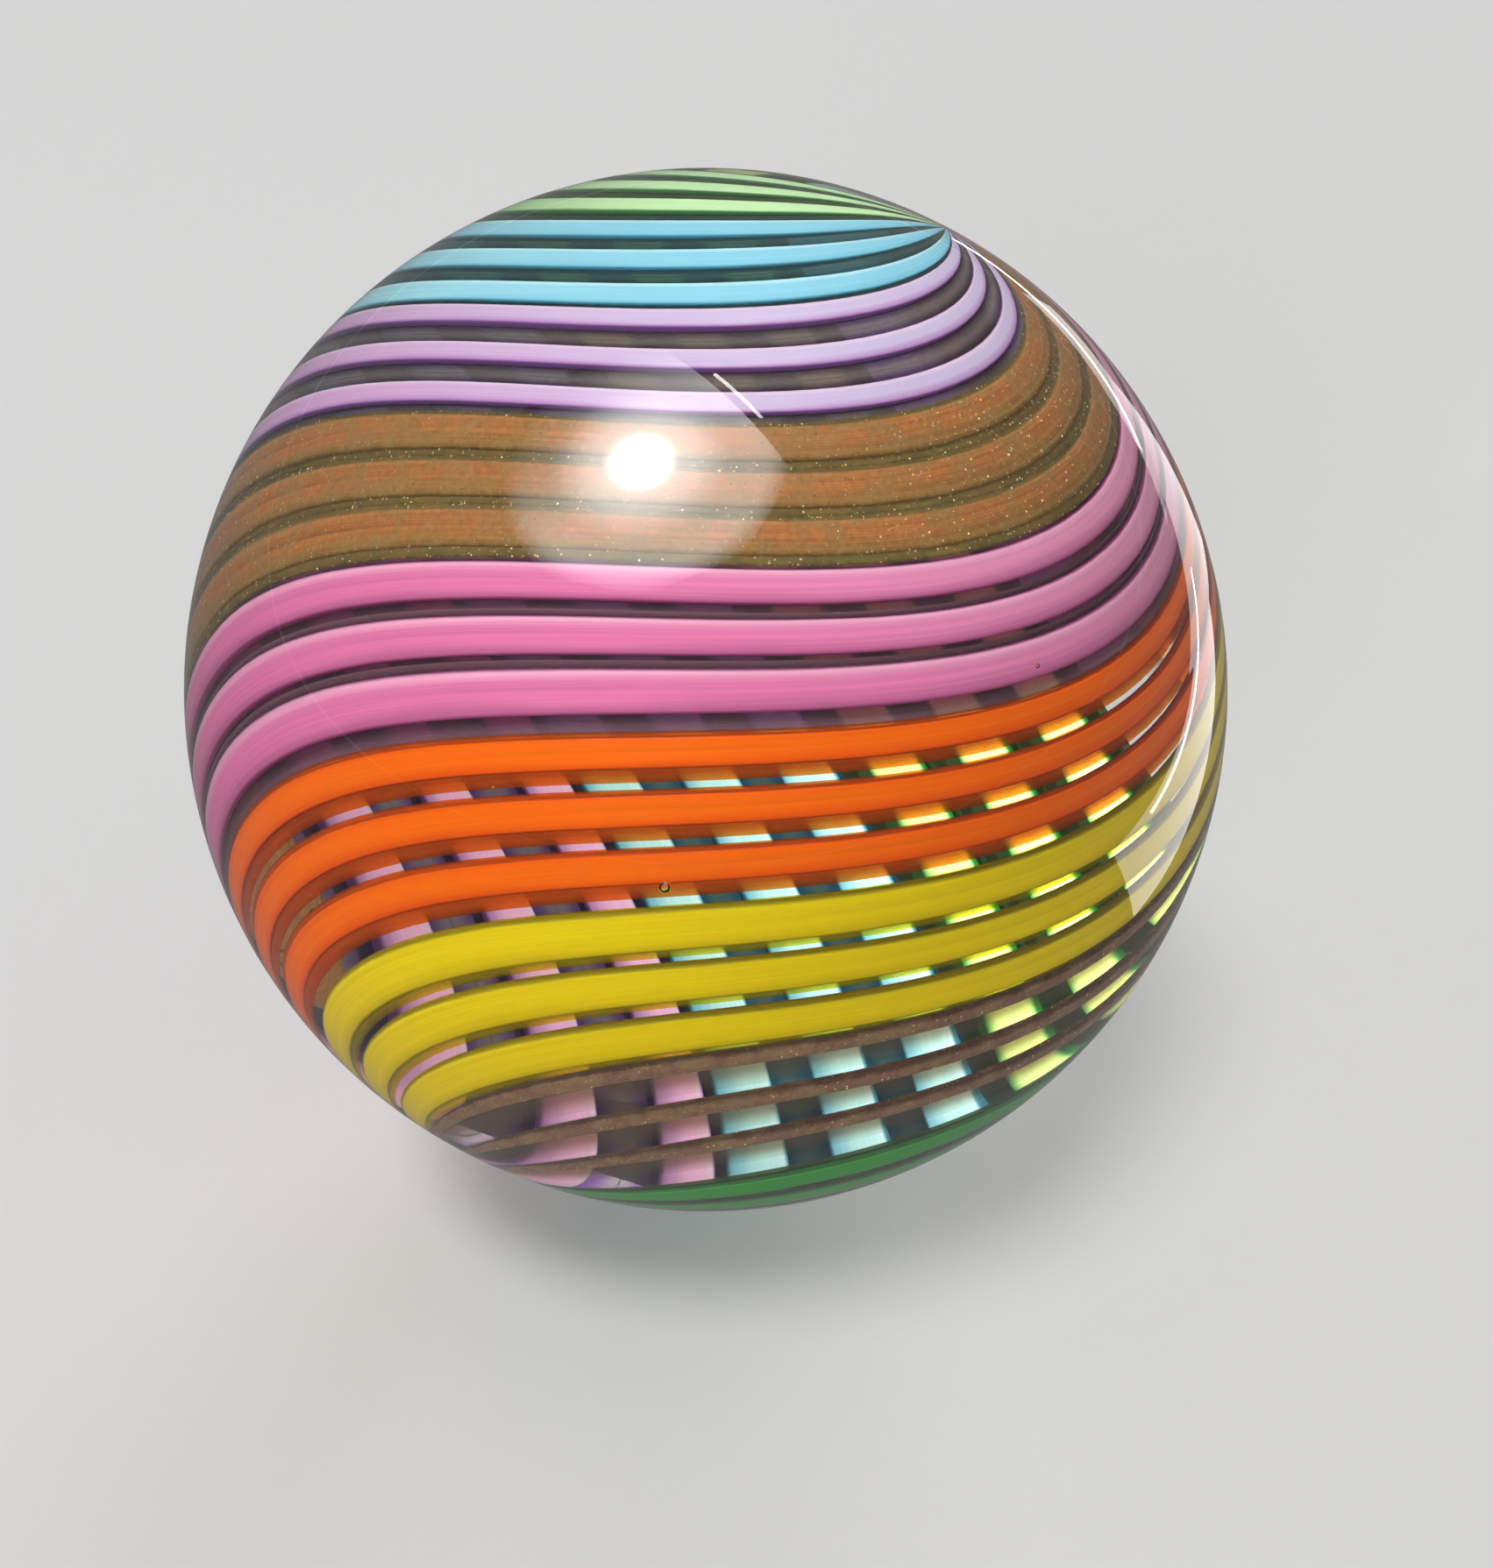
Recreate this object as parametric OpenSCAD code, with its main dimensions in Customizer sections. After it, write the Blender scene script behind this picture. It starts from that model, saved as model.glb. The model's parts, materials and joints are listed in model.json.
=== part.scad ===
// Clear glass marble with a ring of opaque coloured canes, laid pole to pole in threes of one
// colour and twisted round the ball. The origin is the centre of the ball. The canes are set out
// round the Z axis, and the whole pattern is then leaned over to where it lies in the ball.

/* [Ball] */
// Diameter of the finished ball
ball_d = 50; // [32:1:80]
// Clear glass between the surface and the canes, round the middle of the pattern
cover_t = 7.3; // [4:0.1:11]
// Clear glass between the surface and the canes at the poles, where they rise
pole_cover_t = 2; // [1:0.1:4]

/* [Canes] */
// Thickness of a cane, from its outer to its inner face
cane_t = 0.6; // [0.3:0.05:1.2]
// Canes laid side by side in each colour
canes_per_colour = 3; // [2:1:3]
// Share of a cane's width that is flat, between its two rounded edges
flat_share = 0.7; // [0.4:0.05:0.85]
// Angle between the pole of the pattern and the tip of each cane
tip_angle = 7; // [5:1:20]
// Angle from the pole at which the canes start to thin towards their tips
thinning_angle = 30; // [22:1:45]

/* [Twist] */
// Turn of the pattern between the middle of the ball and a pole
twist = 104; // [60:1:130]
// Turn that each half gets besides, most of it near its pole
pole_twist = 25; // [0:1:30]
// Turn added to the upper half and taken from the lower half, so that one end is tighter
tighter_end = 21; // [0:1:30]
// Turn of the whole pattern about its own axis
start_angle = -4; // [-180:1:180]

/* [Lean] */
// Angle between the pattern's axis and the vertical
lean = 37; // [0:1:90]
// Direction in which the axis leans, counted from +X
lean_direction = 40; // [-180:1:180]

/* [Share of its pitch that a cane covers] */
// Pale green
green_cover = 0.6; // [0.3:0.01:0.75]
// Sky blue
blue_cover = 0.58; // [0.3:0.01:0.65]
// Lilac
violet_cover = 0.48; // [0.3:0.01:0.6]
// Sparkling copper
copper_cover = 0.74; // [0.5:0.01:0.8]
// Rose pink
pink_cover = 0.7; // [0.5:0.01:0.75]
// Orange
orange_cover = 0.56; // [0.3:0.01:0.75]
// Yellow
yellow_cover = 0.66; // [0.5:0.01:0.72]
// Smoky bronze
bronze_cover = 0.26; // [0.2:0.01:0.5]
// How much wider the last rose pink cane is than the other two
last_pink_wider = 1.15; // [1:0.05:1.2]
// How much wider the first yellow cane is than the other two
first_yellow_wider = 1.1; // [1:0.05:1.2]

/* [Shift of a colour along the ring] */
// Pale green
green_shift = 6; // [-4:0.5:7]
// Sky blue
blue_shift = 5; // [0:0.5:6]
// Lilac
violet_shift = -0.5; // [-1:0.5:2]
// Sparkling copper
copper_shift = -2; // [-3:0.5:1]
// Rose pink
pink_shift = -2; // [-4:0.5:1]
// Orange
orange_shift = -1; // [-3:0.5:3]
// Yellow
yellow_shift = 1; // [-2:0.5:2]
// Smoky bronze
bronze_shift = -4; // [-5:0.5:4]

/* [Hidden] */
// Each colour in turn round the ring: name, colour, share of the pitch covered, shift, and how
// much wider than that share each of its canes is
CANES = [
    ["green", [0.66, 0.90, 0.58], green_cover, green_shift, [1, 1, 1]],
    ["blue", [0.62, 0.89, 0.95], blue_cover, blue_shift, [1, 1, 1]],
    ["violet", [0.80, 0.62, 0.86], violet_cover, violet_shift, [1, 1, 1]],
    ["copper", [0.72, 0.45, 0.26], copper_cover, copper_shift, [1, 1, 1]],
    ["pink", [0.94, 0.52, 0.74], pink_cover, pink_shift, [1, 1, last_pink_wider]],
    ["orange", [0.98, 0.38, 0.02], orange_cover, orange_shift, [1, 1, 1]],
    ["yellow", [0.92, 0.80, 0.05], yellow_cover, yellow_shift, [first_yellow_wider, 1, 1]],
    ["bronze", [0.46, 0.33, 0.24], bronze_cover, bronze_shift, [1, 1, 1]],
];
CLEAR = [0.84, 0.92, 0.93, 0.25];

pitch = 360 / (len(CANES) * canes_per_colour);
layer_r = ball_d / 2 - cover_t - cane_t / 2;
pole_r = ball_d / 2 - pole_cover_t - cane_t / 2;
tip_lat = 90 - tip_angle;
cane_steps = 20;
ball_fn = 128;
// Outline across a cane, as shares of its half width and half thickness
SECTION = [[1, 0], [flat_share, 1], [-flat_share, 1], [-1, 0], [-flat_share, -1], [flat_share, -1]];

function cane_name(c, i) = str(CANES[c][0], "_cane_", i);

// Turn of the pattern at a latitude: even over the middle, tighter towards the poles and at one end
function turn_at(lat) = twist * sin(lat) + tighter_end * pow(sin(lat), 2) + pole_twist * pow(sin(lat), 3);

// Thickness at a latitude: full over the middle, thinning to the tips
function thickness_at(lat) = cane_t * min(1, cos(lat) / sin(thinning_angle));

// Distance from the centre to the middle of the canes: even over the middle, rising at the poles
function radius_at(lat) = layer_r + (pole_r - layer_r) * pow(sin(lat), 4);

function on_ball(radius, lat, lon) = radius * [cos(lat) * cos(lon), cos(lat) * sin(lon), sin(lat)];

function section_at(lat, lon, half_width) = [
    for (p = SECTION) on_ball(radius_at(lat) + p[1] * thickness_at(lat) / 2, lat, lon + p[0] * half_width)
];

// One cane, swept along the ring from the lower pole to the upper one
module cane(lon, half_width) {
    sides = len(SECTION);
    lats = [for (s = [0:cane_steps]) tip_lat * (2 * s / cane_steps - 1)];
    points = [for (lat = lats) each section_at(lat, lon + turn_at(lat), half_width)];
    walls = [
        for (s = [0:cane_steps - 1]) for (k = [0:sides - 1])
            let (a = s * sides + k, b = s * sides + (k + 1) % sides)
            each [[a, b, a + sides], [b, b + sides, a + sides]]
    ];
    lower_tip = [for (k = [0:sides - 1]) sides - 1 - k];
    upper_tip = [for (k = [0:sides - 1]) len(points) - sides + k];
    polyhedron(points = points, faces = concat(walls, [lower_tip, upper_tip]));
}

// Cane number i of colour c, where it lies in the ball
module laid_cane(c, i) {
    place = c * canes_per_colour + i - 1;
    rotate([0, lean, lean_direction])
        cane(start_angle + place * pitch + CANES[c][3], CANES[c][2] * CANES[c][4][i - 1] * pitch / 2);
}

// The clear body, closed round every cane
module clear_glass() {
    color(CLEAR) difference() {
        sphere(d = ball_d, $fn = ball_fn);
        for (c = [0:len(CANES) - 1]) for (i = [1:canes_per_colour]) laid_cane(c, i);
    }
}

for (c = [0:len(CANES) - 1]) for (i = [1:canes_per_colour])
    color(CANES[c][1]) laid_cane(c, i);
clear_glass();
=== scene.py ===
"""Looks of a handmade glass marble: a clear ball with a ring of twisted coloured canes in it.

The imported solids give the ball's size and hold the frame. Every piece made here stands for one
of them, or is a film of coloured glass too thin for them.
"""

import json
import math
import random

import bpy
from mathutils import Matrix, Quaternion, Vector

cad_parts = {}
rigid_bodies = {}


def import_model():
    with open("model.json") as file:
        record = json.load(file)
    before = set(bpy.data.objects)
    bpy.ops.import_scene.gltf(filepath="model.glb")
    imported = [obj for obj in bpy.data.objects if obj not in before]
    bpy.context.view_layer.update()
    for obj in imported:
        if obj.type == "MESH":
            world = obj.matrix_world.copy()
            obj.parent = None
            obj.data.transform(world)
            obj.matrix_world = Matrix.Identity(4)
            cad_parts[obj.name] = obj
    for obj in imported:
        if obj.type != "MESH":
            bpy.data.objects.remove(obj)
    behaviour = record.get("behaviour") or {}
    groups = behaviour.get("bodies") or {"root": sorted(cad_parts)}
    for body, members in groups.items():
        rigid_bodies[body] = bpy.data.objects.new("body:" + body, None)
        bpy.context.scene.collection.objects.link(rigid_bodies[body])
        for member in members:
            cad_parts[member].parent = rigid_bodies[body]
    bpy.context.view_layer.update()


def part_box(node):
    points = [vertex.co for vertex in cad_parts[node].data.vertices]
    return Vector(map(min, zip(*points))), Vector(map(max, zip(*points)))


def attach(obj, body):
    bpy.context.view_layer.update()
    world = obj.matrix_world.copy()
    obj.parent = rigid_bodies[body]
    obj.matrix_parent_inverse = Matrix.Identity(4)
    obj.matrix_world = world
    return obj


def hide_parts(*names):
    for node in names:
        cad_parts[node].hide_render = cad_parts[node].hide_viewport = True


bl_info = {
    "name": "Twisted cane marble",
    "version": (1, 0, 0),
    "blender": (4, 5, 0),
    "location": "View3D > Sidebar > Marble",
    "description": "Builds a clear glass ball with a ring of twisted coloured canes",
    "category": "Add Mesh",
}

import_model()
ball_low, ball_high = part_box("clear_glass")
BALL_R = (ball_high.z - ball_low.z) / 2
CENTRE = Vector((0, 0, 0))
MM = 0.001

# Ring order of the colours, with the share of its pitch that a cane's opaque core covers, the
# colour's shift along the ring in degrees, and the canes that are wider than the rest
COLOURS = ("green", "blue", "violet", "copper", "pink", "orange", "yellow", "bronze")
CORE_SHARE = dict(zip(COLOURS, (0.60, 0.58, 0.48, 0.74, 0.70, 0.56, 0.66, 0.26)))
SHIFT = dict(zip(COLOURS, (6, 5, -0.5, -2, -2, -1, 1, -4)))
WIDER = {("pink", 3): 1.15, ("yellow", 1): 1.1}
IN_EACH = 3
PITCH = 360 / (len(COLOURS) * IN_EACH)

# Steps along a cane and along each side of the cube that the ball is rounded from, and the largest
# angle between faces that is shaded smooth
STRIP_STEPS = 96
BALL_STEPS = 64
SMOOTH_UP_TO = math.radians(50)

# The main shader, the refraction of glass, and the faint gloss of a face that lies in glass
PRINCIPLED = "ShaderNodeBsdfPrincipled"
GLASS_IOR = 1.5
INSIDE_GLASS = 0.05


class MarbleShape(bpy.types.PropertyGroup):
    """Sizes of the ball and of the ring of canes in it."""

    cover: bpy.props.FloatProperty(
        name="Cover",
        description="Clear glass over the canes, round the middle of the pattern",
        default=7.3 * MM,
        unit="LENGTH",
    )
    pole_cover: bpy.props.FloatProperty(
        name="Cover at the poles",
        description="Clear glass over the canes where they rise at the poles",
        default=2 * MM,
        unit="LENGTH",
    )
    thickness: bpy.props.FloatProperty(
        name="Cane thickness",
        description="Thickness of a cane, from its outer to its inner face",
        default=0.6 * MM,
        unit="LENGTH",
    )
    thinning: bpy.props.FloatProperty(
        name="Thinning",
        description="Angle from the pole at which the canes start to thin",
        default=math.radians(30),
        subtype="ANGLE",
    )
    tip: bpy.props.FloatProperty(
        name="Tip",
        description="Angle between a pole and the tip of each cane, which is drawn out to a thread",
        default=math.radians(1.2),
        subtype="ANGLE",
    )
    twist: bpy.props.FloatProperty(
        name="Twist",
        description="Turn of the pattern between the middle of the ball and a pole",
        default=math.radians(104),
        subtype="ANGLE",
    )
    pole_twist: bpy.props.FloatProperty(
        name="Pole twist",
        description="Turn that each half gets besides, most of it near its pole",
        default=math.radians(25),
        subtype="ANGLE",
    )
    tighter: bpy.props.FloatProperty(
        name="Tighter end",
        description="Turn added to the upper half and taken from the lower half",
        default=math.radians(21),
        subtype="ANGLE",
    )
    start: bpy.props.FloatProperty(
        name="Start",
        description="Turn of the whole pattern about its own axis",
        default=math.radians(-4),
        subtype="ANGLE",
    )
    lean: bpy.props.FloatProperty(
        name="Lean",
        description="Angle between the pattern's axis and the vertical",
        default=math.radians(37),
        subtype="ANGLE",
    )
    lean_to: bpy.props.FloatProperty(
        name="Lean direction",
        description="Direction in which the axis leans, counted from +X",
        default=math.radians(40),
        subtype="ANGLE",
    )
    film: bpy.props.FloatProperty(
        name="Film thickness",
        description="Thickness of each film of coloured glass beside a core",
        default=0.1 * MM,
        unit="LENGTH",
    )
    bubble: bpy.props.FloatProperty(
        name="Seed bubble",
        description="Diameter of the largest seed bubble",
        default=0.5 * MM,
        unit="LENGTH",
    )


def colour_property(name, colour, what):
    """A colour that shows in the sidebar."""
    return bpy.props.FloatVectorProperty(
        name=name, description=what, default=colour, subtype="COLOR", size=3, min=0, max=1
    )


class MarbleCores(bpy.types.PropertyGroup):
    """Colours of the opaque glass in the middle of each cane."""

    # The green's dark emerald is its tone in painted shade. Its paler lit tone is painted on its
    # upper end and inner face.
    green: colour_property("Green", (0.03, 0.34, 0.04), "Opaque green")
    blue: colour_property("Blue", (0.41, 0.80, 0.88), "Opaque sky blue")
    violet: colour_property("Lilac", (0.66, 0.38, 0.64), "Opaque lilac")
    copper: colour_property("Copper", (0.42, 0.155, 0.045), "Opaque copper brown")
    pink: colour_property("Pink", (0.79, 0.19, 0.40), "Opaque rose pink")
    orange: colour_property("Orange", (0.98, 0.15, 0.0005), "Opaque orange")
    yellow: colour_property("Yellow", (0.87, 0.64, 0.002), "Opaque yellow")
    bronze: colour_property("Bronze", (0.24, 0.13, 0.085), "Smoky bronze")


class MarbleFilms(bpy.types.PropertyGroup):
    """Colours of the transparent glass beside each core, where it is deepest. They are partly the
    glass's own tint and partly painted shade, which darkens the gaps between the canes.
    """

    green: colour_property("Green film", (0.05, 0.16, 0.04), "Transparent dark green")
    blue: colour_property("Blue film", (0.02, 0.12, 0.20), "Transparent teal")
    violet: colour_property("Lilac film", (0.10, 0.03, 0.17), "Transparent purple")
    copper: colour_property("Copper film", (0.14, 0.10, 0.03), "Transparent olive")
    pink: colour_property("Pink film", (0.17, 0.03, 0.10), "Transparent maroon")
    orange: colour_property("Orange film", (0.60, 0.12, 0.01), "Transparent orange brown")
    yellow: colour_property("Yellow film", (0.50, 0.42, 0.02), "Transparent olive yellow")
    bronze: colour_property("Bronze film", (0.42, 0.30, 0.20), "Transparent smoky brown")


class MarbleStage(bpy.types.PropertyGroup):
    """Floor, light and camera."""

    floor: colour_property("Floor", (0.68, 0.68, 0.675), "Plain pale floor")
    key: bpy.props.FloatProperty(
        name="Key lamp",
        description="Power of the round lamp overhead",
        default=2.6,
        unit="POWER",
    )
    fill: bpy.props.FloatProperty(
        name="Fill lamp",
        description="Power of each large soft lamp, in front and behind",
        default=3.6,
        unit="POWER",
    )
    glow: bpy.props.FloatProperty(
        name="Glow",
        description="Brightness of the soft cloth round the key lamp, in reflections only",
        default=6.0,
    )
    gathered: bpy.props.FloatProperty(
        name="Gathered light",
        description="Power of the light that the ball gathers onto the inner faces of its canes",
        default=0.0038,
        unit="POWER",
    )
    daylight: bpy.props.FloatProperty(
        name="Daylight", description="Strength of the even light from all sides", default=0.4
    )
    elevation: bpy.props.FloatProperty(
        name="Elevation",
        description="Angle at which the camera looks down on the ball",
        default=math.radians(35),
        subtype="ANGLE",
    )
    distance: bpy.props.FloatProperty(
        name="Distance",
        description="Distance from the camera to the middle of the ball",
        default=6.5 * BALL_R,
        unit="LENGTH",
    )


# Where the ball lies in the photograph, in pixels: the picture's size, the ball's centre and its
# radius, and the width of the camera's sensor
PHOTO_SIZE = (1703, 1789)
BALL_PX = (807, 789)
BALL_RADIUS_PX = 595
SENSOR_MM = 36


def settings(name):
    return getattr(bpy.context.scene, name)


def deselect():
    """Leaves nothing selected, the frame's nodes included."""
    if bpy.context.object and bpy.context.object.mode != "OBJECT":
        bpy.ops.object.mode_set(mode="OBJECT")
    bpy.ops.object.select_all(action="DESELECT")


def make_active(piece):
    deselect()
    piece.select_set(True)
    bpy.context.view_layer.objects.active = piece


def new_piece(name):
    """Names the primitive that was just added."""
    piece = bpy.context.object
    piece.name = name
    piece.data.name = name
    return piece


def settle(piece, slot, *replaces):
    """Puts a finished piece's place into its mesh, and hangs it on the body of the ball."""
    make_active(piece)
    bpy.ops.object.transform_apply(location=True, rotation=True, scale=True)
    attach(piece, "root")
    if replaces:
        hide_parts(*replaces)


def pattern_turn():
    """From the pattern's own axes, with its poles on Z, to the ball's."""
    shape = settings("marble_shape")
    return Matrix.Rotation(shape.lean_to, 3, "Z") @ Matrix.Rotation(shape.lean, 3, "Y")


def turn_at(lat):
    """Turn of the pattern at a latitude: tighter towards the poles, and at one end."""
    shape = settings("marble_shape")
    height = math.sin(lat)
    return height * (shape.twist + height * (shape.tighter + height * shape.pole_twist))


def radius_at(lat):
    """Distance from the centre to the middle of the canes, which rise at the poles."""
    shape = settings("marble_shape")
    middle = BALL_R - shape.cover - shape.thickness / 2
    pole = BALL_R - shape.pole_cover - shape.thickness / 2
    return middle + (pole - middle) * math.sin(lat) ** 4


def thickness_share(lat):
    return min(1, math.cos(lat) / math.sin(settings("marble_shape").thinning))


def lay(piece, longitude, half_width, half_thickness, lift=0.0):
    """Lays a straight strip, from -1 to 1 along X, Y and Z, into the ball along its cane's route.

    An operator can't sweep a section that turns and narrows along its way, so this moves the
    points by the pattern's rule. The strip's own X and Y stay on it as its UV map.
    """
    shape = settings("marble_shape")
    turn = pattern_turn()
    tip_lat = math.pi / 2 - shape.tip
    mesh = piece.data
    uv = mesh.uv_layers.new(name="along_across")
    for loop in mesh.loops:
        co = mesh.vertices[loop.vertex_index].co
        uv.data[loop.index].uv = (co.x / 2 + 0.5, co.y / 2 + 0.5)
    for vertex in mesh.vertices:
        lat = vertex.co.x * tip_lat
        lon = longitude + turn_at(lat) + vertex.co.y * half_width
        radius = radius_at(lat) + (lift + vertex.co.z * half_thickness) * thickness_share(lat)
        across = math.cos(lat)
        toward = Vector((across * math.cos(lon), across * math.sin(lon), math.sin(lat)))
        vertex.co = turn @ (radius * toward)
    mesh.update()


def longitude_of(colour, number):
    """Middle of a cane where it crosses the middle of the ball."""
    place = COLOURS.index(colour) * IN_EACH + number - 1
    return settings("marble_shape").start + math.radians(place * PITCH + SHIFT[colour])


def half_core(colour, number):
    """Half the width of a cane's opaque core, as an angle round the ring."""
    return math.radians(PITCH) * CORE_SHARE[colour] * WIDER.get((colour, number), 1) / 2


def select_long_edges(strip):
    """Leaves a straight strip in edit mode, with only the edges that run along it selected."""
    bpy.ops.object.mode_set(mode="EDIT")
    bpy.ops.mesh.select_mode(type="EDGE")
    bpy.ops.mesh.select_all(action="DESELECT")
    bpy.ops.object.mode_set(mode="OBJECT")
    for edge in strip.data.edges:
        a, b = (strip.data.vertices[i].co for i in edge.vertices)
        edge.select = abs(a.x - b.x) > 1
    bpy.ops.object.mode_set(mode="EDIT")


def straight_strip(name, rounding, segments):
    """A straight rod with rounded long edges, from -1 to 1 along X, Y and Z, cut into steps."""
    deselect()
    bpy.ops.mesh.primitive_cube_add(size=2, calc_uvs=False, location=CENTRE)
    strip = new_piece(name)
    select_long_edges(strip)
    bpy.ops.mesh.bevel(offset=rounding, segments=segments, profile=0.5, clamp_overlap=True)
    select_long_edges(strip)
    bpy.ops.mesh.subdivide(number_cuts=STRIP_STEPS - 1)
    bpy.ops.object.mode_set(mode="OBJECT")
    return strip


def copy_of(strip, name):
    """A copy of a straight strip with a mesh of its own."""
    make_active(strip)
    bpy.ops.object.duplicate()
    return new_piece(name)


def shade_smooth(piece):
    make_active(piece)
    bpy.ops.object.shade_smooth_by_angle(angle=SMOOTH_UP_TO)


def set_sockets(made, values):
    """Sets a node's sockets by name, with _ for a space; a colour is given as three numbers."""
    for key, value in values.items():
        value = (*value, 1) if isinstance(value, tuple) else value
        made.inputs[key.replace("_", " ")].default_value = value
    return made


def node(tree, kind, **values):
    return set_sockets(tree.nodes.new(kind), values)


def empty_material(name):
    material = bpy.data.materials.new(name)
    material.use_nodes = True
    material.node_tree.nodes.clear()
    return material, material.node_tree


def new_group(name, inputs, outputs):
    """An empty node group with its sockets: each is (name, kind, default)."""
    tree = bpy.data.node_groups.new(name, "ShaderNodeTree")
    for label, kind, default in inputs:
        socket = tree.interface.new_socket(name=label, in_out="INPUT", socket_type=kind)
        socket.default_value = default
    for label, kind in outputs:
        tree.interface.new_socket(name=label, in_out="OUTPUT", socket_type=kind)
    start = tree.nodes.new("NodeGroupInput")
    end = tree.nodes.new("NodeGroupOutput")
    return tree, start, end


def maths(tree, operation, a, b, c=None, clamp=False):
    """A Math node fed by sockets or numbers."""
    made = tree.nodes.new("ShaderNodeMath")
    made.operation = operation
    made.use_clamp = clamp
    for i, value in enumerate((a, b, c)):
        if value is None:
            continue
        if isinstance(value, (int, float)):
            made.inputs[i].default_value = value
        else:
            tree.links.new(value, made.inputs[i])
    return made.outputs[0]


def vector_maths(tree, operation, a, b=None):
    """A Vector Math node fed by sockets or numbers; its scale is a socket."""
    made = tree.nodes.new("ShaderNodeVectorMath")
    made.operation = operation
    tree.links.new(a, made.inputs[0])
    if operation == "SCALE":
        tree.links.new(b, made.inputs["Scale"])
    elif isinstance(b, tuple):
        made.inputs[1].default_value = b
    elif b is not None:
        tree.links.new(b, made.inputs[1])
    return made.outputs["Value" if operation == "LENGTH" else "Vector"]


def mix_colours(tree, factor, a, b):
    """Colour a where the factor is 0 and b where it is 1; each is a socket or three numbers."""
    made = tree.nodes.new("ShaderNodeMix")
    made.data_type = "RGBA"
    for socket, value in ((made.inputs[0], factor), (made.inputs[6], a), (made.inputs[7], b)):
        if isinstance(value, tuple):
            socket.default_value = (*value, 1)
        else:
            tree.links.new(value, socket)
    return made.outputs[2]


def mix_shaders(tree, factor, a, b):
    """Shader a where the factor is 0 and b where it is 1."""
    made = tree.nodes.new("ShaderNodeMixShader")
    tree.links.new(factor, made.inputs[0])
    tree.links.new(a.outputs[0], made.inputs[1])
    tree.links.new(b.outputs[0], made.inputs[2])
    return made


def ramp(tree, factor, stops):
    """A smooth colour ramp: each stop is (place, colour)."""
    made = tree.nodes.new("ShaderNodeValToRGB")
    made.color_ramp.interpolation = "EASE"
    elements = made.color_ramp.elements
    while len(elements) < len(stops):
        elements.new(0.5)
    for element, (place, colour) in zip(elements, stops):
        element.position = place
        element.color = (*colour, 1)
    tree.links.new(factor, made.inputs[0])
    return made.outputs[0]


def texture_place(tree):
    """Place along and across a cane's strip, as a vector and as its part across."""
    place = tree.nodes.new("ShaderNodeUVMap")
    place.uv_map = "along_across"
    return place.outputs[0], part_of(tree, place.outputs[0], "Y")


def part_of(tree, vector, part):
    """One part of a vector: X, Y or Z."""
    split = tree.nodes.new("ShaderNodeSeparateXYZ")
    tree.links.new(vector, split.inputs[0])
    return split.outputs[part]


def noise(tree, vector, stretch, detail=3.0):
    """Noise on a vector that is stretched by a number for each of its parts."""
    mapping = tree.nodes.new("ShaderNodeMapping")
    mapping.inputs["Scale"].default_value = stretch
    tree.links.new(vector, mapping.inputs["Vector"])
    made = node(tree, "ShaderNodeTexNoise", Scale=1.0, Detail=detail, Roughness=0.6)
    tree.links.new(mapping.outputs[0], made.inputs["Vector"])
    return made.outputs[0]


def wandering(tree, place, stretch, reach):
    """A slow noise round 0 that moves a line to and fro by up to half its reach."""
    return maths(tree, "MULTIPLY", maths(tree, "SUBTRACT", noise(tree, place, stretch), 0.5), reach)


def faded(tree, value, start, end):
    """1 at start, falling smoothly to 0 at end; each is a socket or a number."""
    made = node(tree, "ShaderNodeMapRange", To_Min=1.0, To_Max=0.0)
    made.interpolation_type = "SMOOTHSTEP"
    tree.links.new(value, made.inputs["Value"])
    for socket, level in (("From Min", start), ("From Max", end)):
        if isinstance(level, (int, float)):
            made.inputs[socket].default_value = level
        else:
            tree.links.new(level, made.inputs[socket])
    return made.outputs[0]


# Along a cane from 0 to 1: where the tone of its upper end, which is painted light and shade, is
# full, and where it starts
END_LIGHT_AND_SHADE = (0.84, 0.54)

# Noise cells along and across a cane: in its wide and its fine streaks, and in the lines on a core
# and on a film, each with how far they wander. The third number of a stretch does nothing, because
# the pattern is flat.
STREAKS = ((5, 9, 1), (7, 34, 1))
CORE_WANDER = ((9, 0.5, 1), 0.1)
FILM_WANDER = ((8, 0.5, 1), 0.3)

# Noise cells a metre, in the tone of the lower side, which comes and goes over about 15 mm
DRIFT = (70, 70, 70)


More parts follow.
